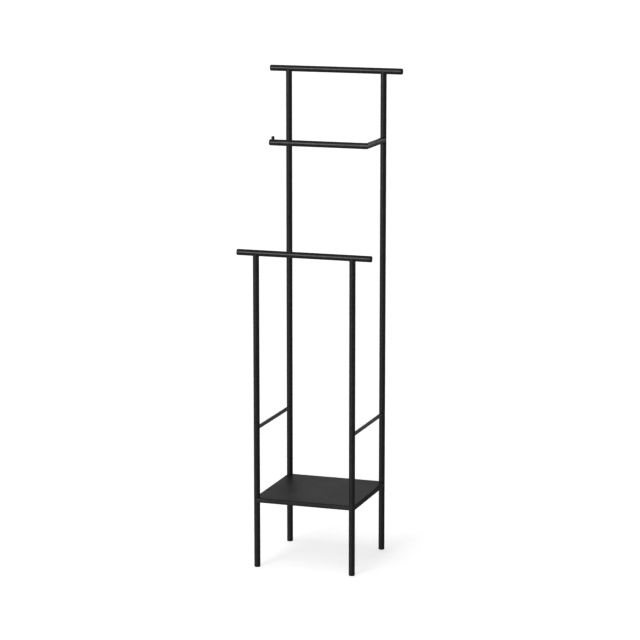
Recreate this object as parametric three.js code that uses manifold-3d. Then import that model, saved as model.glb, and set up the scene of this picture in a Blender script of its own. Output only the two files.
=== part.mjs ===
// Valet stand: a welded frame of round steel tube with a jacket bar, a lower front bar,
// an L-shaped trouser bar with a stop peg, two thin side struts and a folded steel shelf.
// Millimetres, +Z up. The origin is on the floor, in the middle of the footprint.
// +X runs to the right along the bars, and +Y runs from the front frame to the back frame.

import * as THREE from 'three';
import { mergeVertices } from 'three/addons/utils/BufferGeometryUtils.js';
import Module from 'manifold-3d';

const wasm = await Module();
wasm.setup();

// Driving dimensions
const OVERALL_HEIGHT = 1500;
const FOOTPRINT = 320; // outside of the uprights, both ways
const BAR_LENGTH = 420; // top bar and front bar, over their end caps
const TUBE_RADIUS = 9;
const TUBE_WALL = 1.5;
const FRONT_BAR_HEIGHT = 967.5; // height of the bar's axis
const TROUSER_BAR_HEIGHT = 1283; // height of the bar's axis
const TROUSER_BAR_REACH = 167.5; // from the back uprights' axes forward to the bar's axis
const TROUSER_BAR_FREE_END = -154; // x of the free end, over its cap
const STRUT_RADIUS = 5.5;
const STRUT_HEIGHT = 432.5;
const PEG_RADIUS = 4.5;
const PEG_INSET = 10; // from the trouser bar's free end to the peg's axis
const PEG_RISE = 10; // above the trouser bar
const SHELF_TOP = 216.5;
const SHELF_DEPTH = 13; // height of the folded edge
const FOLD_RADIUS = 4; // outside of the fold
const SHEET = 1.5; // thickness of the shelf's steel
const GAP = 0.3; // left between pieces that touch

// Dimensions that follow
const TUBE_BORE = TUBE_RADIUS - TUBE_WALL;
const UPRIGHT_OFFSET = FOOTPRINT / 2 - TUBE_RADIUS;
const TOP_BAR_HEIGHT = OVERALL_HEIGHT - TUBE_RADIUS;
const PANEL_UNDERSIDE = SHELF_TOP - SHEET;

// Plastic plugs
const PLUG_LENGTH = 14;
const CAP_FLANGE = 2.4;
const CAP_EDGE_RADIUS = 0.8;
const GLIDE_FLANGE = 4;
const GLIDE_EDGE_RADIUS = 1.2;

// Shelf brackets and their fixings
const BRACKET_THICKNESS = 2;
const BRACKET_REACH = 40; // from the upright's axis towards the middle
const BRACKET_NOSE = 4; // start of the sloping edge
const STUD_INSET = 16; // from the upright's axis, both ways
const STUD_RADIUS = 2;
const STUD_LENGTH = 6.5;
const NUT_HEIGHT = 3.2;
const NUT_CORNER_RADIUS = 4.04;

// Rounding
const TUBE_SIDES = 24;
const SMALL_SIDES = 12;
const CORNER_STEPS = 3;

const SIDES = { left: -1, right: 1 };
const CORNERS = [
  { name: 'front_left', x: -1, y: -1 },
  { name: 'front_right', x: 1, y: -1 },
  { name: 'back_left', x: -1, y: 1 },
  { name: 'back_right', x: 1, y: 1 },
];

const powderCoat = new THREE.MeshStandardMaterial({ color: 0x232324, roughness: 0.5, metalness: 0.1 });
const shelfCoat = new THREE.MeshStandardMaterial({ color: 0x2a2a2b, roughness: 0.6, metalness: 0.1 });
const plugPlastic = new THREE.MeshStandardMaterial({ color: 0x1b1b1c, roughness: 0.55, metalness: 0 });
const fixingSteel = new THREE.MeshStandardMaterial({ color: 0x8c8d8f, roughness: 0.4, metalness: 1 });

// Solids

function solidFrom(geometry) {
  geometry.deleteAttribute('normal');
  geometry.deleteAttribute('uv');
  const merged = mergeVertices(geometry, 1e-4);
  const index = merged.index.array;
  const triangles = [];
  for (let i = 0; i < index.length; i += 3) {
    const [a, b, c] = [index[i], index[i + 1], index[i + 2]];
    if (a !== b && b !== c && c !== a) triangles.push(a, b, c);
  }
  return new wasm.Manifold(new wasm.Mesh({
    numProp: 3,
    vertProperties: Float32Array.from(merged.attributes.position.array),
    triVerts: Uint32Array.from(triangles),
  }));
}

function pieceFrom(solid, name, material) {
  const { vertProperties, triVerts } = solid.getMesh();
  const geometry = new THREE.BufferGeometry();
  geometry.setAttribute('position', new THREE.BufferAttribute(vertProperties, 3));
  geometry.setIndex(new THREE.BufferAttribute(triVerts, 1));
  geometry.computeVertexNormals();
  const piece = new THREE.Mesh(geometry, material);
  piece.name = name;
  return piece;
}

// A turned shape standing on the XY plane, its profile given as [radius, height] points.
function turned(profile, sides) {
  const points = profile.map(([radius, height]) => new THREE.Vector2(radius, height));
  return new THREE.LatheGeometry(points, sides).rotateX(Math.PI / 2);
}

function tube(length, outer, inner) {
  const profile = [[inner, 0], [outer, 0], [outer, length], [inner, length], [inner, 0]];
  return turned(profile, TUBE_SIDES);
}

// A solid cylinder centred on the origin, used to cut a saddle or a clearance.
function cylinderAlong(axis, radius, length) {
  const cylinder = new THREE.CylinderGeometry(radius, radius, length, TUBE_SIDES);
  if (axis === 'x') cylinder.rotateZ(Math.PI / 2);
  if (axis === 'z') cylinder.rotateX(Math.PI / 2);
  return cylinder;
}

// A quarter round from the foot of a plug's flange up to its full radius.
function roundedEdge(outer, edgeRadius) {
  const points = [];
  for (let step = 0; step <= CORNER_STEPS; step += 1) {
    const angle = (step / CORNER_STEPS) * Math.PI / 2;
    const radius = outer - edgeRadius + edgeRadius * Math.sin(angle);
    const height = edgeRadius * (1 - Math.cos(angle));
    points.push([radius, height]);
  }
  return points;
}

// Pieces

function makeUpright(name, barHeight) {
  const start = GLIDE_FLANGE + GAP;
  const blank = solidFrom(tube(barHeight - start, TUBE_RADIUS, TUBE_BORE).translate(0, 0, start));
  const saddle = cylinderAlong('x', TUBE_RADIUS + GAP, 4 * TUBE_RADIUS).translate(0, 0, barHeight);
  return pieceFrom(blank.subtract(solidFrom(saddle)), name, powderCoat);
}

function makeBar(name) {
  const length = BAR_LENGTH - 2 * (CAP_FLANGE + GAP);
  const blank = tube(length, TUBE_RADIUS, TUBE_BORE).translate(0, 0, -length / 2).rotateY(Math.PI / 2);
  return pieceFrom(solidFrom(blank), name, powderCoat);
}

// A plug pushed into the end of a tube. It stands on its outer face, with its stem upwards.
function makePlug(name, flange, edgeRadius) {
  const stem = TUBE_BORE - GAP;
  const profile = [
    [0, 0],
    ...roundedEdge(TUBE_RADIUS, edgeRadius),
    [TUBE_RADIUS, flange],
    [stem, flange],
    [stem, flange + PLUG_LENGTH],
    [0, flange + PLUG_LENGTH],
  ];
  return pieceFrom(solidFrom(turned(profile, TUBE_SIDES)), name, plugPlastic);
}

function makeEndCap(name, side) {
  const cap = makePlug(name, CAP_FLANGE, CAP_EDGE_RADIUS);
  cap.rotation.y = side * -Math.PI / 2;
  return cap;
}

// The mitre at the trouser bar's corner: a block that removes everything on one side of the
// plane x + y = 0. side is 1 for the far side from the bar, and -1 for the far side from the arm.
function mitreBlock(side) {
  const size = 8 * TUBE_RADIUS;
  const shift = (side * (size - GAP)) / 2;
  return solidFrom(new THREE.BoxGeometry(size, size, size).translate(shift, 0, 0).rotateZ(Math.PI / 4));
}

function makeTrouserBar() {
  const corner = 2 * TUBE_RADIUS;
  const start = TROUSER_BAR_FREE_END + CAP_FLANGE + GAP - UPRIGHT_OFFSET;
  const blank = tube(corner - start, TUBE_RADIUS, TUBE_BORE).rotateY(Math.PI / 2).translate(start, 0, 0);
  return pieceFrom(solidFrom(blank).subtract(mitreBlock(1)), 'trouser_bar', powderCoat);
}

function makeTrouserBarArm() {
  const corner = 2 * TUBE_RADIUS;
  const blank = tube(corner + TROUSER_BAR_REACH, TUBE_RADIUS, TUBE_BORE);
  blank.rotateX(-Math.PI / 2).translate(0, -corner, 0);
  const saddle = cylinderAlong('z', TUBE_RADIUS + GAP, 4 * TUBE_RADIUS).translate(0, TROUSER_BAR_REACH, 0);
  const arm = solidFrom(blank).subtract(mitreBlock(-1)).subtract(solidFrom(saddle));
  return pieceFrom(arm, 'trouser_bar_arm', powderCoat);
}

function makeStopPeg() {
  const top = TUBE_RADIUS + PEG_RISE;
  const dome = roundedEdge(PEG_RADIUS, PEG_RADIUS / 2).map(([radius, height]) => [radius, top - height]);
  const profile = [[0, 0], [PEG_RADIUS, 0], ...dome.reverse(), [0, top]];
  const saddle = cylinderAlong('x', TUBE_RADIUS + GAP, 4 * TUBE_RADIUS);
  const peg = solidFrom(turned(profile, TUBE_SIDES)).subtract(solidFrom(saddle));
  return pieceFrom(peg, 'stop_peg', powderCoat);
}

function makeStrut(name) {
  const length = 2 * UPRIGHT_OFFSET;
  const blank = tube(length, STRUT_RADIUS, STRUT_RADIUS - TUBE_WALL);
  let strut = solidFrom(blank.translate(0, 0, -length / 2).rotateX(-Math.PI / 2));
  for (const end of [-1, 1]) {
    const saddle = cylinderAlong('z', TUBE_RADIUS + GAP, 4 * TUBE_RADIUS);
    strut = strut.subtract(solidFrom(saddle.translate(0, end * UPRIGHT_OFFSET, 0)));
  }
  return pieceFrom(strut, name, powderCoat);
}

// A square block with its upper edges rounded: the overlap of two bars that cross.
function foldedBlock(half, bottom, top, radius) {
  const outline = new THREE.Shape();
  outline.moveTo(-half, bottom);
  outline.lineTo(half, bottom);
  outline.absarc(half - radius, top - radius, radius, 0, Math.PI / 2, false);
  outline.absarc(radius - half, top - radius, radius, Math.PI / 2, Math.PI, false);
  const length = 2 * (half + radius);
  const options = { depth: length, bevelEnabled: false, curveSegments: CORNER_STEPS };
  const bar = new THREE.ExtrudeGeometry(outline, options).rotateX(Math.PI / 2);
  bar.translate(0, length / 2, 0);
  const crossBar = bar.clone().rotateZ(Math.PI / 2);
  return solidFrom(bar).intersect(solidFrom(crossBar));
}

// The shelf is a sheet with its four edges folded down. Its corners are cut away round the
// uprights, and the folded edges run up to them.
function makeShelfTray() {
  const bottom = SHELF_TOP - SHELF_DEPTH;
  const past = 1;
  const outside = foldedBlock(FOOTPRINT / 2, bottom, SHELF_TOP, FOLD_RADIUS);
  const inside = foldedBlock(FOOTPRINT / 2 - SHEET, bottom - past, PANEL_UNDERSIDE, FOLD_RADIUS - SHEET);
  let tray = outside.subtract(inside);
  for (const { x, y } of CORNERS) {
    const clearance = cylinderAlong('z', TUBE_RADIUS + GAP, 4 * SHELF_DEPTH);
    clearance.translate(x * UPRIGHT_OFFSET, y * UPRIGHT_OFFSET, SHELF_TOP);
    const corner = new THREE.BoxGeometry(2 * TUBE_RADIUS, 2 * TUBE_RADIUS, 4 * SHELF_DEPTH);
    corner.translate((x * FOOTPRINT) / 2, (y * FOOTPRINT) / 2, SHELF_TOP);
    tray = tray.subtract(solidFrom(clearance)).subtract(solidFrom(corner));
  }
  return pieceFrom(tray, 'shelf_tray', shelfCoat);
}

// A gusset welded to an upright under the panel, with a hole for the tray's stud.
function makeShelfBracket(name, x, y) {
  const wall = FOOTPRINT / 2 - FOLD_RADIUS - UPRIGHT_OFFSET;
  const outline = [
    [-wall, -wall],
    [BRACKET_REACH, -wall],
    [BRACKET_REACH, BRACKET_NOSE],
    [BRACKET_NOSE, BRACKET_REACH],
    [-wall, BRACKET_REACH],
  ];
  const plate = new THREE.Shape(outline.map(([inX, inY]) => new THREE.Vector2(-x * inX, -y * inY)));
  const options = { depth: BRACKET_THICKNESS, bevelEnabled: false };
  const blank = solidFrom(new THREE.ExtrudeGeometry(plate, options));
  const upright = cylinderAlong('z', TUBE_RADIUS + GAP, 4 * TUBE_RADIUS);
  const hole = new THREE.CylinderGeometry(STUD_RADIUS + GAP, STUD_RADIUS + GAP, 4 * TUBE_RADIUS, SMALL_SIDES);
  hole.rotateX(Math.PI / 2).translate(-x * STUD_INSET, -y * STUD_INSET, 0);
  return pieceFrom(blank.subtract(solidFrom(upright)).subtract(solidFrom(hole)), name, powderCoat);
}

function makeShelfStud(name) {
  const stud = new THREE.CylinderGeometry(STUD_RADIUS, STUD_RADIUS, STUD_LENGTH, SMALL_SIDES);
  stud.rotateX(Math.PI / 2).translate(0, 0, -STUD_LENGTH / 2);
  return pieceFrom(solidFrom(stud), name, fixingSteel);
}

function makeShelfNut(name) {
  const outline = new THREE.Shape();
  for (let corner = 0; corner < 6; corner += 1) {
    const angle = (corner * Math.PI) / 3;
    const point = [NUT_CORNER_RADIUS * Math.cos(angle), NUT_CORNER_RADIUS * Math.sin(angle)];
    if (corner === 0) outline.moveTo(...point);
    else outline.lineTo(...point);
  }
  const blank = new THREE.ExtrudeGeometry(outline, { depth: NUT_HEIGHT, bevelEnabled: false });
  const bore = new THREE.CylinderGeometry(STUD_RADIUS + GAP, STUD_RADIUS + GAP, 4 * NUT_HEIGHT, SMALL_SIDES);
  return pieceFrom(solidFrom(blank).subtract(solidFrom(bore.rotateX(Math.PI / 2))), name, fixingSteel);
}

// Assembly

// Two uprights joined by a bar that runs past both of them, on glides and with capped ends.
function makeFrame(place, barName, barHeight) {
  const frame = new THREE.Group();
  for (const [sideName, side] of Object.entries(SIDES)) {
    const upright = makeUpright(`${place}_upright_${sideName}`, barHeight);
    upright.position.x = side * UPRIGHT_OFFSET;
    const glide = makePlug(`foot_glide_${place}_${sideName}`, GLIDE_FLANGE, GLIDE_EDGE_RADIUS);
    glide.position.x = side * UPRIGHT_OFFSET;
    const cap = makeEndCap(`${barName}_end_cap_${sideName}`, side);
    cap.position.set((side * BAR_LENGTH) / 2, 0, barHeight);
    frame.add(upright, glide, cap);
  }
  const bar = makeBar(barName);
  bar.position.z = barHeight;
  frame.add(bar);
  return frame;
}

// The L-shaped trouser bar. The group's origin is its mitred corner.
function makeTrouserRail() {
  const rail = new THREE.Group();
  const cap = makeEndCap('trouser_bar_end_cap', SIDES.left);
  cap.position.x = TROUSER_BAR_FREE_END - UPRIGHT_OFFSET;
  const peg = makeStopPeg();
  peg.position.x = cap.position.x + PEG_INSET;
  rail.add(makeTrouserBar(), makeTrouserBarArm(), cap, peg);
  return rail;
}

function makeShelf() {
  const shelf = new THREE.Group();
  shelf.add(makeShelfTray());
  for (const { name, x, y } of CORNERS) {
    const bracket = makeShelfBracket(`shelf_bracket_${name}`, x, y);
    const bracketBottom = PANEL_UNDERSIDE - GAP - BRACKET_THICKNESS;
    bracket.position.set(x * UPRIGHT_OFFSET, y * UPRIGHT_OFFSET, bracketBottom);
    const fixing = new THREE.Group();
    fixing.position.set(x * (UPRIGHT_OFFSET - STUD_INSET), y * (UPRIGHT_OFFSET - STUD_INSET), 0);
    const stud = makeShelfStud(`shelf_stud_${name}`);
    stud.position.z = PANEL_UNDERSIDE - GAP;
    const nut = makeShelfNut(`shelf_nut_${name}`);
    nut.position.z = bracketBottom - GAP - NUT_HEIGHT;
    fixing.add(stud, nut);
    shelf.add(bracket, fixing);
  }
  return shelf;
}

const group = new THREE.Group();
const frontFrame = makeFrame('front', 'front_bar', FRONT_BAR_HEIGHT);
frontFrame.position.y = -UPRIGHT_OFFSET;
const backFrame = makeFrame('back', 'top_bar', TOP_BAR_HEIGHT);
backFrame.position.y = UPRIGHT_OFFSET;
const trouserRail = makeTrouserRail();
trouserRail.position.set(UPRIGHT_OFFSET, UPRIGHT_OFFSET - TROUSER_BAR_REACH, TROUSER_BAR_HEIGHT);
group.add(frontFrame, backFrame, trouserRail, makeShelf());
for (const [sideName, side] of Object.entries(SIDES)) {
  const strut = makeStrut(`side_strut_${sideName}`);
  strut.position.set(side * UPRIGHT_OFFSET, 0, STRUT_HEIGHT);
  group.add(strut);
}

export default group;
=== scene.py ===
"""A black valet stand: welded steel tube, a folded steel shelf and moulded plugs, in a white studio."""

import math

import bmesh
import bpy
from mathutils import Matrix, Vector


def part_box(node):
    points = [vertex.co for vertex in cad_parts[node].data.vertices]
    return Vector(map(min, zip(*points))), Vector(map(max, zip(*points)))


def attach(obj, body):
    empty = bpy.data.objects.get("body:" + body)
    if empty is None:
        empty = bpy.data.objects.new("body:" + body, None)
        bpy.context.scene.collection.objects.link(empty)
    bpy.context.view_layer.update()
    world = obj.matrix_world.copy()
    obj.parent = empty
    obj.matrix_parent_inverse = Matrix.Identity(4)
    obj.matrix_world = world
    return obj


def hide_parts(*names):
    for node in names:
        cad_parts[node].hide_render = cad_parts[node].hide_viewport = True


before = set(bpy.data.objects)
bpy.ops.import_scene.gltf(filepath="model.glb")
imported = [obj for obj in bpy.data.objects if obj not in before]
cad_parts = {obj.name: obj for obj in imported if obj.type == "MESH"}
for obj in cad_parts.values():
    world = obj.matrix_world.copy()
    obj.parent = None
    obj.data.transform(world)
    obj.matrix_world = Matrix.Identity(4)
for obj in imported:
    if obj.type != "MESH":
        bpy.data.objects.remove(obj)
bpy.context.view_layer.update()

MM = 0.001
X, Y, Z = Vector((1, 0, 0)), Vector((0, 1, 0)), Vector((0, 0, 1))


# ---------------------------------------------------------------- sizes, most of them read from the frame

def middle(node):
    low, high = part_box(node)
    return (low + high) / 2


def extent(node):
    low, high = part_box(node)
    return high - low


TUBE_RADIUS = extent("top_bar").z / 2
TUBE_WALL = 1.5 * MM
TUBE_BORE = TUBE_RADIUS - TUBE_WALL
STRUT_RADIUS = extent("side_strut_left").z / 2
STRUT_BORE = STRUT_RADIUS - TUBE_WALL
PEG_RADIUS = extent("stop_peg").x / 2
UPRIGHT_OFFSET = middle("back_upright_right").x
SHELF_HALF = extent("shelf_tray").x / 2
SHELF_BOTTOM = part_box("shelf_tray")[0].z
SHELF_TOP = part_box("shelf_tray")[1].z

SEAM = 0.05 * MM  # what shows between a tube's cut end and its plug
CUT_EASE = 0.25 * MM  # deburred edge of a sawn tube
SADDLE_SINK = 0.15 * MM  # how far a saddle cut reaches into the tube that it meets
MERGE_DISTANCE = 1e-7
SMOOTH_ANGLE = math.radians(38)
TUBE_SIDES = 96
PLUG_SIDES = 72
STUD_SIDES = 36

SIDES = ("left", "right")
CORNERS = [f"{depth}_{side}" for depth in ("front", "back") for side in SIDES]


# ---------------------------------------------------------------- mesh making

def solid_piece(name, vertices, faces):
    """A closed mesh object, smooth except across its sharp edges."""
    mesh = bpy.data.meshes.new(name)
    mesh.from_pydata([tuple(v) for v in vertices], [], faces)
    work = bmesh.new()
    work.from_mesh(mesh)
    bmesh.ops.remove_doubles(work, verts=work.verts, dist=MERGE_DISTANCE)
    bmesh.ops.recalc_face_normals(work, faces=work.faces)
    work.to_mesh(mesh)
    work.free()
    mesh.polygons.foreach_set("use_smooth", [True] * len(mesh.polygons))
    mesh.set_sharp_from_angle(angle=SMOOTH_ANGLE)
    piece = bpy.data.objects.new(name, mesh)
    bpy.context.scene.collection.objects.link(piece)
    return piece


def ring_faces(first, second, count):
    """Quads between two rings of count points that start at the indices first and second."""
    faces = []
    for i in range(count):
        j = (i + 1) % count
        faces.append((first + i, first + j, second + j, second + i))
    return faces


def looped(rings):
    """Vertices and faces of a loft through the rings that comes back to its first ring."""
    count = len(rings[0])
    vertices = [point for ring in rings for point in ring]
    faces = []
    for k in range(len(rings)):
        faces += ring_faces(k * count, (k + 1) % len(rings) * count, count)
    return vertices, faces


def around(sides):
    return [2 * math.pi * i / sides for i in range(sides)]


def arc(centre, radius, start, end, steps):
    """Points of an arc in a flat profile, its angles in degrees."""
    points = []
    for i in range(steps + 1):
        angle = math.radians(start + (end - start) * i / steps)
        points.append((centre[0] + radius * math.cos(angle), centre[1] + radius * math.sin(angle)))
    return points


def tube_piece(name, origin, along, across, radius, bore, start, end, ease=(0, 0)):
    """A hollow tube. start and end give how far along it each cut is, from the point's two
    offsets across the tube: u along the vector across, and v square to it."""
    other = along.cross(across)

    def ring(r, cut, shift):
        points = []
        for angle in around(TUBE_SIDES):
            u, v = r * math.cos(angle), r * math.sin(angle)
            points.append(origin + across * u + other * v + along * (cut(u, v) + shift))
        return points

    rings = []
    if ease[0]:
        rings.append(ring(radius - ease[0], start, 0))
    rings.append(ring(radius, start, ease[0]))
    rings.append(ring(radius, end, -ease[1]))
    if ease[1]:
        rings.append(ring(radius - ease[1], end, 0))
    rings.append(ring(bore, end, 0))
    rings.append(ring(bore, start, 0))
    return solid_piece(name, *looped(rings))


def square_cut(at):
    return lambda u, v: at


def saddle_cut(at, side, radius):
    """A cut that fits round a tube of that radius whose axis crosses at the distance at."""
    depth = radius - SADDLE_SINK
    return lambda u, v: at + side * math.sqrt(max(depth ** 2 - v ** 2, 0))


def turned_shell(profile, origin, along, sides):
    """Vertices and faces of a turned solid. The profile is (radius, height) from axis to axis."""
    across = X if abs(along.x) < 0.5 else Y
    other = along.cross(across)
    vertices, starts = [], []
    for radius, height in profile:
        starts.append(len(vertices))
        centre = origin + along * height
        if radius == 0:
            vertices.append(centre)
            continue
        for angle in around(sides):
            vertices.append(centre + (across * math.cos(angle) + other * math.sin(angle)) * radius)
    faces = []
    for k in range(len(profile) - 1):
        here, there = profile[k][0], profile[k + 1][0]
        for i in range(sides):
            j = (i + 1) % sides
            if here == 0:
                faces.append((starts[k], starts[k + 1] + i, starts[k + 1] + j))
            elif there == 0:
                faces.append((starts[k] + i, starts[k] + j, starts[k + 1]))
            else:
                faces.append((starts[k] + i, starts[k] + j, starts[k + 1] + j, starts[k + 1] + i))
    return vertices, faces


def gathered(shells):
    """Several shells as the vertices and faces of one mesh."""
    vertices, faces = [], []
    for shell_vertices, shell_faces in shells:
        base = len(vertices)
        vertices += shell_vertices
        faces += [tuple(base + i for i in face) for face in shell_faces]
    return vertices, faces


# ---------------------------------------------------------------- shared material effects

def new_group(name, inputs, outputs):
    """A shader node group with named sockets, and its input and output nodes."""
    group = bpy.data.node_groups.new(name, "ShaderNodeTree")
    for socket_name, kind, value in inputs:
        socket = group.interface.new_socket(socket_name, in_out="INPUT", socket_type=kind)
        socket.default_value = value
    for socket_name, kind in outputs:
        group.interface.new_socket(socket_name, in_out="OUTPUT", socket_type=kind)
    return group, group.nodes.new("NodeGroupInput"), group.nodes.new("NodeGroupOutput")


FLOAT = "NodeSocketFloat"


def place_points(tree):
    """Positions in metres in the stand's own frame."""
    return tree.nodes.new("ShaderNodeTexCoord").outputs["Object"]


def noise_at(tree, points, scale, detail, roughness):
    noise = tree.nodes.new("ShaderNodeTexNoise")
    tree.links.new(points, noise.inputs["Vector"])
    tree.links.new(scale, noise.inputs["Scale"])
    noise.inputs["Detail"].default_value = detail
    noise.inputs["Roughness"].default_value = roughness
    return noise.outputs["Fac"]


def calculate(tree, operation, first, second):
    node = tree.nodes.new("ShaderNodeMath")
    node.operation = operation
    for socket, value in zip(node.inputs, (first, second)):
        if isinstance(value, (int, float)):
            socket.default_value = value
        else:
            tree.links.new(value, socket)
    return node.outputs["Value"]


def spread(tree, value, low, high, to_low=0.0, to_high=1.0):
    """value taken smoothly from the range low to high to the range to_low to to_high."""
    node = tree.nodes.new("ShaderNodeMapRange")
    node.interpolation_type = "SMOOTHSTEP"
    tree.links.new(value, node.inputs["Value"])
    for name, number in (("From Min", low), ("From Max", high), ("To Min", to_low), ("To Max", to_high)):
        node.inputs[name].default_value = number
    return node.outputs["Result"]


def make_orange_peel():
    """The skin of cured powder: soft dimples, and a finer grain on top of them."""
    group, given, result = new_group(
        "Powder orange peel",
        [("Dimples per Metre", FLOAT, 1400.0), ("Grain per Metre", FLOAT, 6000.0),
         ("Grain Share", FLOAT, 0.3)],
        [("Height", FLOAT), ("Dimples", FLOAT)])
    points = place_points(group)
    dimples = noise_at(group, points, given.outputs["Dimples per Metre"], 2.0, 0.45)
    grain = noise_at(group, points, given.outputs["Grain per Metre"], 2.0, 0.6)
    grain_part = calculate(group, "MULTIPLY", grain, given.outputs["Grain Share"])
    height = calculate(group, "ADD", dimples, grain_part)
    group.links.new(height, result.inputs["Height"])
    group.links.new(dimples, result.inputs["Dimples"])
    return group


def make_coat_drift():
    """Slow changes of depth over a sprayed or moulded part, as a mask round one half."""
    group, given, result = new_group(
        "Slow coat drift",
        [("Patches per Metre", FLOAT, 9.0), ("Contrast", FLOAT, 0.5)],
        [("Drift", FLOAT)])
    points = place_points(group)
    patches = noise_at(group, points, given.outputs["Patches per Metre"], 4.0, 0.55)
    centred = calculate(group, "SUBTRACT", patches, 0.5)
    scaled = calculate(group, "MULTIPLY", centred, given.outputs["Contrast"])
    group.links.new(calculate(group, "ADD", scaled, 0.5), result.inputs["Drift"])
    return group


def make_settled_dust():
    """A thin veil of dust on whatever faces up, thicker in soft patches."""
    group, given, result = new_group(
        "Settled dust",
        [("Amount", FLOAT, 0.2), ("Patches per Metre", FLOAT, 40.0), ("Specks per Metre", FLOAT, 900.0)],
        [("Dust", FLOAT)])
    facing = group.nodes.new("ShaderNodeSeparateXYZ")
    group.links.new(group.nodes.new("ShaderNodeNewGeometry").outputs["Normal"], facing.inputs["Vector"])
    upward = spread(group, facing.outputs["Z"], 0.55, 0.98)
    points = place_points(group)
    patches = noise_at(group, points, given.outputs["Patches per Metre"], 5.0, 0.6)
    specks = noise_at(group, points, given.outputs["Specks per Metre"], 3.0, 0.7)
    veil = spread(group, patches, 0.3, 0.75, 0.35, 1.0)
    broken = calculate(group, "MULTIPLY", veil, spread(group, specks, 0.35, 0.7, 0.5, 1.0))
    lying = calculate(group, "MULTIPLY", broken, upward)
    group.links.new(calculate(group, "MULTIPLY", lying, given.outputs["Amount"]), result.inputs["Dust"])
    return group


def make_edge_rub():
    """Where hands, hangers and cloth polish the coat on its outer edges."""
    group, given, result = new_group(
        "Edge rub",
        [("Amount", FLOAT, 0.5), ("Breaks per Metre", FLOAT, 120.0)],
        [("Rub", FLOAT)])
    pointiness = group.nodes.new("ShaderNodeNewGeometry").outputs["Pointiness"]
    edge = spread(group, pointiness, 0.53, 0.62)
    breaks = noise_at(group, place_points(group), given.outputs["Breaks per Metre"], 4.0, 0.65)
    worn = calculate(group, "MULTIPLY", edge, spread(group, breaks, 0.35, 0.65))
    group.links.new(calculate(group, "MULTIPLY", worn, given.outputs["Amount"]), result.inputs["Rub"])
    return group


ORANGE_PEEL = make_orange_peel()
COAT_DRIFT = make_coat_drift()
SETTLED_DUST = make_settled_dust()
EDGE_RUB = make_edge_rub()


# ---------------------------------------------------------------- materials

def place_group(tree, group, **values):
    node = tree.nodes.new("ShaderNodeGroup")
    node.node_tree = group
    for name, value in values.items():
        node.inputs[name.replace("_", " ")].default_value = value
    return node


def mixed_colour(tree, share, first, second):
    """first where share is 0, second where it is 1. Each is a colour or a socket."""
    node = tree.nodes.new("ShaderNodeMix")
    node.data_type = "RGBA"
    tree.links.new(share, node.inputs["Factor"])
    for socket, value in ((node.inputs[6], first), (node.inputs[7], second)):
        if isinstance(value, tuple):
            socket.default_value = (*value, 1.0)
        else:
            tree.links.new(value, socket)
    return node.outputs[2]


def bumped(tree, height, distance):
    bump = tree.nodes.new("ShaderNodeBump")
    bump.inputs["Distance"].default_value = distance
    bump.inputs["Strength"].default_value = 1.0
    tree.links.new(height, bump.inputs["Height"])
    return bump.outputs["Normal"]


def new_material(name):
    material = bpy.data.materials.new(name)
    material.use_nodes = True
    return material, material.node_tree, material.node_tree.nodes["Principled BSDF"]


DUST_GREY = (0.16, 0.155, 0.148)
DUST_ROUGHNESS = 0.9
SATIN_DRIFT = 0.03  # how far the roughness drifts to either side
SATIN_GRAIN = 0.08  # how far the roughness changes between a dimple's rim and its pit
RUBBED_PALER = 2.2  # how many times as pale as the thin coat a rubbed edge is


def coated_steel(name, deep, thin, satin, rubbed_satin, dust, peel_depth):
    """Black powder coat on steel. deep and thin are its colours where it lies thick and thin, and
    satin and rubbed_satin are its roughness on open faces and on rubbed edges."""
    material, tree, shader = new_material(name)
    drift = place_group(tree, COAT_DRIFT, Patches_per_Metre=7.0, Contrast=1.1)
    peel = place_group(tree, ORANGE_PEEL, Dimples_per_Metre=1500.0, Grain_per_Metre=6500.0, Grain_Share=0.25)
    veil = place_group(tree, SETTLED_DUST, Amount=dust)
    rub = place_group(tree, EDGE_RUB, Amount=0.5)
    coat = mixed_colour(tree, drift.outputs["Drift"], deep, thin)
    worn = mixed_colour(tree, rub.outputs["Rub"], coat, tuple(RUBBED_PALER * part for part in thin))
    dusty = mixed_colour(tree, veil.outputs["Dust"], worn, DUST_GREY)
    tree.links.new(dusty, shader.inputs["Base Color"])
    drifted = spread(tree, drift.outputs["Drift"], 0.2, 0.8, satin - SATIN_DRIFT, satin + SATIN_DRIFT)
    grained = calculate(tree, "MULTIPLY_ADD", peel.outputs["Dimples"], SATIN_GRAIN)
    grained.node.inputs[2].default_value = -SATIN_GRAIN / 2
    rough = calculate(tree, "ADD", drifted, grained)
    dulled = calculate(tree, "MULTIPLY", veil.outputs["Dust"], DUST_ROUGHNESS)
    dusted = calculate(tree, "MAXIMUM", rough, dulled)
    polished = tree.nodes.new("ShaderNodeMix")
    tree.links.new(rub.outputs["Rub"], polished.inputs["Factor"])
    tree.links.new(dusted, polished.inputs[2])
    polished.inputs[3].default_value = rubbed_satin
    tree.links.new(polished.outputs[0], shader.inputs["Roughness"])
    tree.links.new(bumped(tree, peel.outputs["Height"], peel_depth), shader.inputs["Normal"])
    return material


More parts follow.
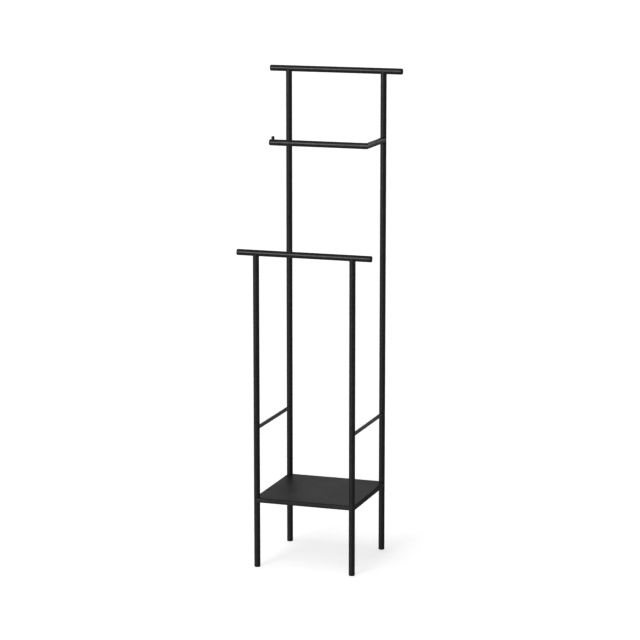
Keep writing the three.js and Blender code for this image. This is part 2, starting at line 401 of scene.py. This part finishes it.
def moulded_plastic(name):
    """Black polyethylene with a fine spark-eroded texture."""
    material, tree, shader = new_material(name)
    drift = place_group(tree, COAT_DRIFT, Patches_per_Metre=60.0, Contrast=0.9)
    spark = place_group(tree, ORANGE_PEEL, Dimples_per_Metre=2600.0, Grain_per_Metre=9000.0, Grain_Share=0.5)
    rub = place_group(tree, EDGE_RUB, Amount=0.35)
    body = mixed_colour(tree, drift.outputs["Drift"], (0.026, 0.026, 0.0265), (0.036, 0.036, 0.0365))
    worn = mixed_colour(tree, rub.outputs["Rub"], body, (0.06, 0.06, 0.061))
    tree.links.new(worn, shader.inputs["Base Color"])
    rough = spread(tree, spark.outputs["Dimples"], 0.3, 0.7, 0.46, 0.6)
    tree.links.new(rough, shader.inputs["Roughness"])
    tree.links.new(bumped(tree, spark.outputs["Height"], 0.02 * MM), shader.inputs["Normal"])
    return material


def plated_steel(name):
    """Bright zinc with the faint clouding of its passivation."""
    material, tree, shader = new_material(name)
    drift = place_group(tree, COAT_DRIFT, Patches_per_Metre=350.0, Contrast=1.6)
    marks = place_group(tree, ORANGE_PEEL, Dimples_per_Metre=3500.0, Grain_per_Metre=12000.0, Grain_Share=0.6)
    body = mixed_colour(tree, drift.outputs["Drift"], (0.42, 0.43, 0.45), (0.56, 0.56, 0.54))
    tree.links.new(body, shader.inputs["Base Color"])
    rough = spread(tree, drift.outputs["Drift"], 0.1, 0.9, 0.28, 0.46)
    tree.links.new(rough, shader.inputs["Roughness"])
    tree.links.new(bumped(tree, marks.outputs["Height"], 0.01 * MM), shader.inputs["Normal"])
    shader.inputs["Metallic"].default_value = 1.0
    return material


FRAME_COAT = coated_steel(
    "Satin black powder coat on the frame", deep=(0.032, 0.032, 0.0325), thin=(0.042, 0.042, 0.0425),
    satin=0.34, rubbed_satin=0.26, dust=0.04, peel_depth=0.03 * MM)
SHELF_COAT = coated_steel(
    "Satin black powder coat on the shelf", deep=(0.030, 0.030, 0.0305), thin=(0.039, 0.039, 0.0395),
    satin=0.54, rubbed_satin=0.4, dust=0.06, peel_depth=0.035 * MM)
PLUG_PLASTIC = moulded_plastic("Black moulded plastic")
FIXING_STEEL = plated_steel("Zinc plated steel")
SLOT_MATERIALS = {
    "frame_powder_coat": FRAME_COAT,
    "shelf_powder_coat": SHELF_COAT,
    "plug_plastic": PLUG_PLASTIC,
    "fixing_steel": FIXING_STEEL,
}


def fit(piece, slot, *nodes):
    """Finishes a piece, lets it ride on the stand, and takes the place of its CAD nodes."""
    piece.data.materials.append(SLOT_MATERIALS[slot])
    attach(piece, "root")
    if nodes:
        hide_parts(*nodes)


# ---------------------------------------------------------------- welds

FRAME_WELD = 1.7 * MM  # leg of the fillet between two full-size tubes
STRUT_WELD = 1.3 * MM
PEG_WELD = 0.9 * MM
WELD_SIDES = 144
WELD_STEPS = 6
WELD_ROOT = 0.7 * MM  # how deep a weld reaches under the surfaces that it joins
WELD_FLUSH = 0.08 * MM  # how far a fillet is let in where the two surfaces run together
WELD_RIPPLES = 46
WELD_RIPPLE = 0.05  # height of a ripple, as a share of the leg
MITRE_BEAD = 0.6 * MM
BEAD_SIDES = 12
BEAD_SINK = 0.72  # how deep the mitre's bead lies half way round, in bead radii
BEAD_DRESSING = 0.78  # how much deeper than that it lies on the outside of the corner


def saddle_weld(name, centre, toward, along, radius, main_radius, leg):
    """The fillet between two tubes whose axes cross at centre: a tube of that radius comes in along
    the vector toward, and the main tube runs along the vector along. leg is the fillet's size."""
    across = toward.cross(along)
    sections = []
    for angle in around(WELD_SIDES):
        size = leg * (1 + WELD_RIPPLE * math.sin(WELD_RIPPLES * angle))
        c, s = math.cos(angle), math.sin(angle)
        turn = math.asin(max(-1.0, min(1.0, radius * s / main_radius)))
        far_turn = turn + size * s / main_radius
        tube_normal = along * c + across * s
        main_normal = across * math.sin(turn) - toward * math.cos(turn)
        far_normal = across * math.sin(far_turn) - toward * math.cos(far_turn)
        seam = centre + along * (radius * c) + main_normal * main_radius
        near = seam - toward * size
        far = centre + along * (radius * c + size * c) + far_normal * main_radius
        flush = WELD_FLUSH * abs(tube_normal.dot(main_normal)) ** 3
        points = []
        for i in range(WELD_STEPS + 1):
            t = i / WELD_STEPS
            point = near * (1 - t) ** 2 + seam * (2 * t * (1 - t)) + far * t ** 2
            points.append(point - tube_normal * flush)
        points.append(far - far_normal * WELD_ROOT)
        points.append(seam - (tube_normal + main_normal) * WELD_ROOT)
        points.append(near - tube_normal * WELD_ROOT)
        sections.append(points)
    return solid_piece(name, *looped(sections))


def mitre_weld(name, corner, bead):
    """The bead round the mitre between a bar along X and an arm along Y. It is fullest inside the
    corner and dressed away on the outside."""
    sections = []
    for angle in around(WELD_SIDES):
        c, s = math.cos(angle), math.sin(angle)
        seam = corner + Vector((-c, c, s)) * TUBE_RADIUS
        outward = Vector((-c, c, 2 * s)).normalized()
        sideways = Vector((1, 1, 0)).normalized()
        sunk = bead * (BEAD_SINK - BEAD_DRESSING * c)
        centre = seam - outward * sunk
        points = []
        for turn in around(BEAD_SIDES):
            points.append(centre + (outward * math.cos(turn) + sideways * math.sin(turn)) * bead)
        sections.append(points)
    return solid_piece(name, *looped(sections))


# ---------------------------------------------------------------- plugs and peg

CAP_FLANGE = 2.4 * MM
CAP_EDGE = 0.8 * MM
CAP_CROWN = 0.2 * MM
GLIDE_FLANGE = 4 * MM
GLIDE_EDGE = 1.2 * MM
GLIDE_CROWN = 0.0  # a glide stands flat on the floor
STEM_CLEARANCE = 0.1 * MM
STEM_CHAMFER = 1 * MM
CROWN_STEPS = 5
PEG_EDGE = 0.55 * PEG_RADIUS
PEG_CROWN = 0.12 * PEG_RADIUS
PEG_CROWN_STEPS = 4


def plug_profile(flange, edge, crown, stem):
    """A plug from the middle of its outer face to the tip of its stem."""
    stem_radius = TUBE_BORE - STEM_CLEARANCE
    flat = TUBE_RADIUS - edge
    profile = [(0, 0)]
    profile += [(flat * i / CROWN_STEPS, crown * (i / CROWN_STEPS) ** 2) for i in range(1, CROWN_STEPS)]
    profile += arc((flat, crown + edge), edge, -90, 0, 8)
    profile += arc((TUBE_RADIUS - CUT_EASE, flange - CUT_EASE), CUT_EASE, 0, 90, 3)
    profile += [(stem_radius, flange), (stem_radius, stem - STEM_CHAMFER)]
    profile += [(stem_radius - STEM_CHAMFER, stem), (0, stem)]
    return profile


def make_plug(node, origin, along, flange, edge, crown):
    stem = extent(node)[max(range(3), key=lambda i: abs(along[i]))]
    shell = turned_shell(plug_profile(flange, edge, crown, stem), origin, along, PLUG_SIDES)
    fit(solid_piece(node.replace("end_cap", "plug") + "_moulded", *shell), "plug_plastic", node)


def make_stop_peg():
    low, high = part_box("stop_peg")
    base = middle("stop_peg")
    base.z = low.z
    height = high.z - low.z
    flat = PEG_RADIUS - PEG_EDGE
    profile = [(0, 0), (PEG_RADIUS, 0)]
    profile += arc((flat, height - PEG_CROWN - PEG_EDGE), PEG_EDGE, 0, 90, 10)
    for i in reversed(range(PEG_CROWN_STEPS)):
        share = i / PEG_CROWN_STEPS
        profile.append((flat * i / PEG_CROWN_STEPS, height - PEG_CROWN * share ** 2))
    shell = turned_shell(profile, base, Z, PLUG_SIDES)
    fit(solid_piece("stop_peg_turned", *shell), "frame_powder_coat", "stop_peg")
    joint = Vector((base.x, base.y, middle("trouser_bar").z))
    weld = saddle_weld("stop_peg_weld", joint, -Z, X, PEG_RADIUS, TUBE_RADIUS, PEG_WELD)
    fit(weld, "frame_powder_coat")


# ---------------------------------------------------------------- frames

def make_bar(node):
    """A straight bar along X with a plug in each end."""
    axis = middle(node)
    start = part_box(f"{node}_end_cap_left")[0].x
    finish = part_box(f"{node}_end_cap_right")[1].x
    origin = Vector((0, axis.y, axis.z))
    bar = tube_piece(
        f"{node}_tube", origin, X, Y, TUBE_RADIUS, TUBE_BORE,
        square_cut(start + CAP_FLANGE + SEAM), square_cut(finish - CAP_FLANGE - SEAM), (CUT_EASE, CUT_EASE))
    fit(bar, "frame_powder_coat", node)
    left, right = origin + X * start, origin + X * finish
    make_plug(f"{node}_end_cap_left", left, X, CAP_FLANGE, CAP_EDGE, CAP_CROWN)
    make_plug(f"{node}_end_cap_right", right, -X, CAP_FLANGE, CAP_EDGE, CAP_CROWN)


def make_upright(depth, side_name, bar):
    """An upright on its glide, cut to fit under a bar and welded to it."""
    node = f"{depth}_upright_{side_name}"
    glide = f"foot_glide_{depth}_{side_name}"
    foot = middle(node)
    foot.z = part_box(glide)[0].z
    bar_height = middle(bar).z
    upright = tube_piece(
        f"{node}_tube", foot, Z, X, TUBE_RADIUS, TUBE_BORE,
        square_cut(GLIDE_FLANGE + SEAM), saddle_cut(bar_height - foot.z, -1, TUBE_RADIUS), (CUT_EASE, 0))
    fit(upright, "frame_powder_coat", node)
    make_plug(glide, foot, Z, GLIDE_FLANGE, GLIDE_EDGE, GLIDE_CROWN)
    joint = Vector((foot.x, foot.y, bar_height))
    weld = saddle_weld(f"{node}_weld", joint, Z, X, TUBE_RADIUS, TUBE_RADIUS, FRAME_WELD)
    fit(weld, "frame_powder_coat")


def make_strut(side_name):
    """A thin side strut between a front and a back upright, welded at both ends."""
    node = f"side_strut_{side_name}"
    axis = middle(node)
    front = middle(f"front_upright_{side_name}").y
    back = middle(f"back_upright_{side_name}").y
    origin = Vector((axis.x, 0, axis.z))
    strut = tube_piece(
        f"{node}_tube", origin, Y, Z, STRUT_RADIUS, STRUT_BORE,
        saddle_cut(front, 1, TUBE_RADIUS), saddle_cut(back, -1, TUBE_RADIUS))
    fit(strut, "frame_powder_coat", node)
    for end, place, toward in (("front", front, -Y), ("back", back, Y)):
        joint = origin + Y * place
        weld = saddle_weld(f"{node}_weld_{end}", joint, toward, Z, STRUT_RADIUS, TUBE_RADIUS, STRUT_WELD)
        fit(weld, "frame_powder_coat")


def make_trouser_rail():
    """The L-shaped trouser bar: the long run, its arm, the mitre, the weld and the plug."""
    run = middle("trouser_bar")
    arm = middle("trouser_bar_arm")
    upright = middle("back_upright_right")
    corner = Vector((arm.x, run.y, run.z))
    free_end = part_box("trouser_bar_end_cap")[0].x
    long_run = tube_piece(
        "trouser_bar_tube", Vector((0, run.y, run.z)), X, Y, TUBE_RADIUS, TUBE_BORE,
        square_cut(free_end + CAP_FLANGE + SEAM), lambda u, v: corner.x - u, (CUT_EASE, 0))
    fit(long_run, "frame_powder_coat", "trouser_bar")
    short_run = tube_piece(
        "trouser_bar_arm_tube", corner, Y, Z, TUBE_RADIUS, TUBE_BORE,
        lambda u, v: -v, saddle_cut(upright.y - corner.y, -1, TUBE_RADIUS))
    fit(short_run, "frame_powder_coat", "trouser_bar_arm")
    fit(mitre_weld("trouser_bar_mitre_weld", corner, MITRE_BEAD), "frame_powder_coat")
    joint = Vector((upright.x, upright.y, corner.z))
    weld = saddle_weld("trouser_bar_arm_weld", joint, Y, Z, TUBE_RADIUS, TUBE_RADIUS, FRAME_WELD)
    fit(weld, "frame_powder_coat")
    make_plug("trouser_bar_end_cap", Vector((free_end, run.y, run.z)), X, CAP_FLANGE, CAP_EDGE, CAP_CROWN)


# ---------------------------------------------------------------- shelf

SHEET = 1.5 * MM
FOLD = 4 * MM  # outside radius of the folded edges
SHEARED_EASE = 0.3 * MM  # softened edge of the sheared sheet
SHELF_FLAT = SHELF_HALF - FOLD
SHELF_CLEARANCE = TUBE_RADIUS + 0.05 * MM


def fold_outline():
    """Section of a folded edge, as (distance from the middle, height)."""
    ease = SHEARED_EASE
    inner = SHELF_HALF - SHEET
    outline = arc((SHELF_FLAT, SHELF_TOP - FOLD), FOLD, 90, 0, 14)
    outline += arc((SHELF_HALF - ease, SHELF_BOTTOM + ease), ease, 0, -90, 3)
    outline += arc((inner + ease, SHELF_BOTTOM + ease), ease, 270, 180, 3)
    outline += arc((SHELF_FLAT, SHELF_TOP - FOLD), FOLD - SHEET, 0, 90, 10)
    return outline


def beside_upright(out):
    """How far a folded edge runs from its middle before it meets the upright's round side."""
    return UPRIGHT_OFFSET - math.sqrt(SHELF_CLEARANCE ** 2 - (out - UPRIGHT_OFFSET) ** 2)


def quarter_turned(a, b, turns):
    for _ in range(turns):
        a, b = -b, a
    return a, b


def fold_shell(turns):
    """One side's folded edge, its ends shaped to the uprights."""

    def place(out, height, end):
        a, b = quarter_turned(out, end * beside_upright(out), turns)
        return Vector((a, b, height))

    outline = fold_outline()
    stations = [-1, -0.5, 0, 0.5, 1]
    vertices = [place(out, height, end) for end in stations for out, height in outline]
    count = len(outline)
    faces = []
    for k in range(len(stations) - 1):
        faces += ring_faces(k * count, (k + 1) * count, count)
    faces.append(tuple(range(count)))
    faces.append(tuple(range((len(stations) - 1) * count, len(stations) * count)))
    return vertices, faces


def panel_shell():
    """The flat of the shelf, cut away round each upright."""
    reach = beside_upright(SHELF_FLAT)
    swing = math.degrees(math.atan2(SHELF_FLAT - UPRIGHT_OFFSET, reach - UPRIGHT_OFFSET))
    outline = []
    for turns in range(4):
        corner = arc((UPRIGHT_OFFSET, UPRIGHT_OFFSET), SHELF_CLEARANCE, 360 + 90 - swing, swing, 18)
        outline += [quarter_turned(a, b, turns) for a, b in corner]
    count = len(outline)
    vertices = [Vector((a, b, z)) for z in (SHELF_TOP - SHEET, SHELF_TOP) for a, b in outline]
    faces = ring_faces(0, count, count)
    faces += [tuple(range(count)), tuple(range(count, 2 * count))]
    return vertices, faces


def make_shelf():
    shells = [panel_shell()] + [fold_shell(turns) for turns in range(4)]
    fit(solid_piece("shelf_tray_folded", *gathered(shells)), "shelf_powder_coat", "shelf_tray")


BRACKET_EASE = 0.35 * MM
BRACKET_EASE_ANGLE = math.radians(50)
THREAD_PITCH = 0.7 * MM
THREAD_DEPTH = 0.35 * MM
THREAD_START = 0.4 * MM
THREAD_ENDS = 1.2 * MM  # how much of a stud's length has no full turn of thread
NUT_CLEARANCE = 0.1 * MM
NUT_CHAMFER_SLOPE = math.tan(math.radians(30))
NUT_FACE = 0.96  # the flat disc of a nut's face, as a share of the width across its flats
NUT_SIDES = 72


def ease_bracket(node):
    """The frame's coat on a bracket that stays as the CAD has it, and its deburred edges."""
    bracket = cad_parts[node]
    bracket.data.materials.clear()
    bracket.data.materials.append(FRAME_COAT)
    edges = bracket.modifiers.new("Deburred edges", "BEVEL")
    edges.width = BRACKET_EASE
    edges.segments = 2
    edges.limit_method = "ANGLE"
    edges.angle_limit = BRACKET_EASE_ANGLE


def make_stud(node, radius):
    """A threaded stud under the tray, its thread turned as rings."""
    low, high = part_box(node)
    root = radius - THREAD_DEPTH
    length = high.z - low.z
    profile = [(0, 0), (root, 0)]
    for i in range(int((length - THREAD_ENDS) / THREAD_PITCH)):
        start = THREAD_START + i * THREAD_PITCH
        profile += [(root, start), (radius, start + THREAD_PITCH / 2)]
    profile += [(root, length), (0, length)]
    axis = Vector((middle(node).x, middle(node).y, low.z))
    stud = solid_piece(f"{node}_threaded", *turned_shell(profile, axis, Z, STUD_SIDES))
    fit(stud, "fixing_steel", node)


def make_nut(node, stud_radius):
    """A hexagon nut with chamfered corners on both faces."""
    low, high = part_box(node)
    centre = middle(node)
    flat_radius = extent(node).x / 2 * math.cos(math.pi / 6)
    face_radius = flat_radius * NUT_FACE
    height = high.z - low.z
    bore = stud_radius + NUT_CLEARANCE

    def ring(radius_at, height_at):
        points = []
        for angle in around(NUT_SIDES):
            r = radius_at(angle)
            z = low.z + height_at(r)
            points.append(Vector((centre.x + r * math.cos(angle), centre.y + r * math.sin(angle), z)))
        return points

    def hexagon(angle):
        nearest = (angle + math.pi / 6) % (math.pi / 3) - math.pi / 6
        return flat_radius / math.cos(math.pi / 6 - abs(nearest))

    def drop(r):
        return max(r - face_radius, 0) * NUT_CHAMFER_SLOPE

    rings = [
        ring(lambda angle: bore, lambda r: 0),
        ring(lambda angle: face_radius, lambda r: 0),
        ring(hexagon, drop),
        ring(hexagon, lambda r: height - drop(r)),
        ring(lambda angle: face_radius, lambda r: height),
        ring(lambda angle: bore, lambda r: height),
    ]
    fit(solid_piece(f"{node}_hexagon", *looped(rings)), "fixing_steel", node)


def make_shelf_fixing(corner):
    """What holds one corner of the shelf: its bracket, the tray's stud and the nut on it."""
    stud_radius = extent(f"shelf_stud_{corner}").x / 2
    ease_bracket(f"shelf_bracket_{corner}")
    make_stud(f"shelf_stud_{corner}", stud_radius)
    make_nut(f"shelf_nut_{corner}", stud_radius)


# ---------------------------------------------------------------- camera, floor and light

CAMERA_TARGET = Vector((-0.0005, 0, 0.746))
CAMERA_AZIMUTH = 18.583
CAMERA_ELEVATION = 10.8455
CAMERA_DISTANCE = 7.673
CAMERA_LENS = 142.465
SENSOR_WIDTH = 36
CAMERA_REACH = 300  # nothing farther than this is drawn
VIEW_GAMMA = 0.7

FLOOR_HALF = 150.0
FLOOR_WHITE = 0.85
FLOOR_LIFT = 0.62  # the floor's own glow, for the camera alone

SURROUND_IN_FRONT = 0.35
SURROUND_BEHIND = 2.25
SURROUND_OVERHEAD = 0.15
OVERHEAD_HEIGHT = 0.7  # sine of the elevation from which the room is as dim as overhead
PALE_SIDE = -152  # where the room is palest, in degrees right of the front
PALE_SPREAD = (0.3, 0.95)  # cosines of the turns from there at which it is dimmest and palest

LAMP_DISTANCE = 5
STRIP_AZIMUTH = -17
STRIP_ELEVATIONS = (46, 64, 82)
STRIP_STRENGTH = 0.17
STRIP_WIDTH = 13


def direction_from(azimuth, elevation):
    """The way to a point that is azimuth degrees right of the front and elevation degrees up."""
    a, e = math.radians(azimuth), math.radians(elevation)
    return Vector((math.sin(a) * math.cos(e), -math.cos(a) * math.cos(e), math.sin(e)))


def aim(thing, target):
    thing.rotation_euler = (target - thing.location).to_track_quat("-Z", "Y").to_euler()


def make_camera():
    camera = bpy.data.objects.new("Studio camera", bpy.data.cameras.new("Studio camera"))
    camera.data.lens = CAMERA_LENS
    camera.data.sensor_width = SENSOR_WIDTH
    camera.data.clip_end = CAMERA_REACH
    camera.location = CAMERA_TARGET + direction_from(CAMERA_AZIMUTH, CAMERA_ELEVATION) * CAMERA_DISTANCE
    aim(camera, CAMERA_TARGET)
    bpy.context.scene.collection.objects.link(camera)
    bpy.context.scene.camera = camera


def make_floor():
    """A very large white floor. It looks lit to white, and keeps soft shadows."""
    work = bmesh.new()
    signs = ((-1, -1), (1, -1), (1, 1), (-1, 1))
    work.faces.new([work.verts.new((x * FLOOR_HALF, y * FLOOR_HALF, 0)) for x, y in signs])
    mesh = bpy.data.meshes.new("Studio floor")
    work.to_mesh(mesh)
    work.free()
    floor = bpy.data.objects.new("Studio_floor", mesh)
    bpy.context.scene.collection.objects.link(floor)
    material, tree, shader = new_material("White studio floor")
    shader.inputs["Base Color"].default_value = (FLOOR_WHITE, FLOOR_WHITE, FLOOR_WHITE, 1)
    shader.inputs["Roughness"].default_value = 1.0
    shader.inputs["Specular IOR Level"].default_value = 0.0
    seen = tree.nodes.new("ShaderNodeLightPath").outputs["Is Camera Ray"]
    shader.inputs["Emission Color"].default_value = (1, 1, 1, 1)
    tree.links.new(calculate(tree, "MULTIPLY", seen, FLOOR_LIFT), shader.inputs["Emission Strength"])
    mesh.materials.append(material)


def make_softbox(name, azimuth, elevation, strength, width, shadow=True):
    """A large, far light, width degrees across."""
    light = bpy.data.lights.new(name, "SUN")
    light.energy = strength
    light.angle = math.radians(width)
    light.use_shadow = shadow
    lamp = bpy.data.objects.new(name, light)
    lamp.location = direction_from(azimuth, elevation) * LAMP_DISTANCE
    aim(lamp, Vector((0, 0, 0)))
    bpy.context.scene.collection.objects.link(lamp)


def make_surround():
    """A room that is palest behind the stand on the left, and dim overhead. The camera sees it as one
    even pale grey, where the floor doesn't hide it."""
    world = bpy.data.worlds.new("Pale studio")
    world.use_nodes = True
    tree = world.node_tree
    tree.nodes.clear()
    way = tree.nodes.new("ShaderNodeTexCoord").outputs["Generated"]
    up = tree.nodes.new("ShaderNodeSeparateXYZ")
    tree.links.new(way, up.inputs["Vector"])
    level = spread(tree, up.outputs["Z"], 0.0, OVERHEAD_HEIGHT, 1.0, SURROUND_OVERHEAD)
    toward = tree.nodes.new("ShaderNodeVectorMath")
    toward.operation = "DOT_PRODUCT"
    tree.links.new(way, toward.inputs[0])
    toward.inputs[1].default_value = direction_from(PALE_SIDE, 0)
    side = spread(tree, toward.outputs["Value"], *PALE_SPREAD, SURROUND_IN_FRONT, SURROUND_BEHIND)
    seen = tree.nodes.new("ShaderNodeLightPath").outputs["Is Camera Ray"]
    strength = calculate(tree, "MAXIMUM", calculate(tree, "MULTIPLY", level, side), seen)
    shade = tree.nodes.new("ShaderNodeBackground")
    tree.links.new(strength, shade.inputs["Strength"])
    output = tree.nodes.new("ShaderNodeOutputWorld")
    tree.links.new(shade.outputs["Background"], output.inputs["Surface"])
    bpy.context.scene.world = world


bpy.context.scene.view_settings.view_transform = "Standard"
bpy.context.scene.view_settings.gamma = VIEW_GAMMA
make_camera()
make_floor()
make_surround()
make_softbox("Front softbox", -21, 13, 2.0, 30, shadow=False)
make_softbox("Left softbox", -75, 25, 0.35, 50, shadow=False)
for elevation in STRIP_ELEVATIONS:
    name = f"Strip light at {elevation} degrees"
    make_softbox(name, STRIP_AZIMUTH, elevation, STRIP_STRENGTH, STRIP_WIDTH)


# ---------------------------------------------------------------- the stand

for bar in ("top_bar", "front_bar"):
    make_bar(bar)
for side_name in SIDES:
    make_upright("back", side_name, "top_bar")
    make_upright("front", side_name, "front_bar")
    make_strut(side_name)
make_trouser_rail()
make_stop_peg()
make_shelf()
for corner in CORNERS:
    make_shelf_fixing(corner)
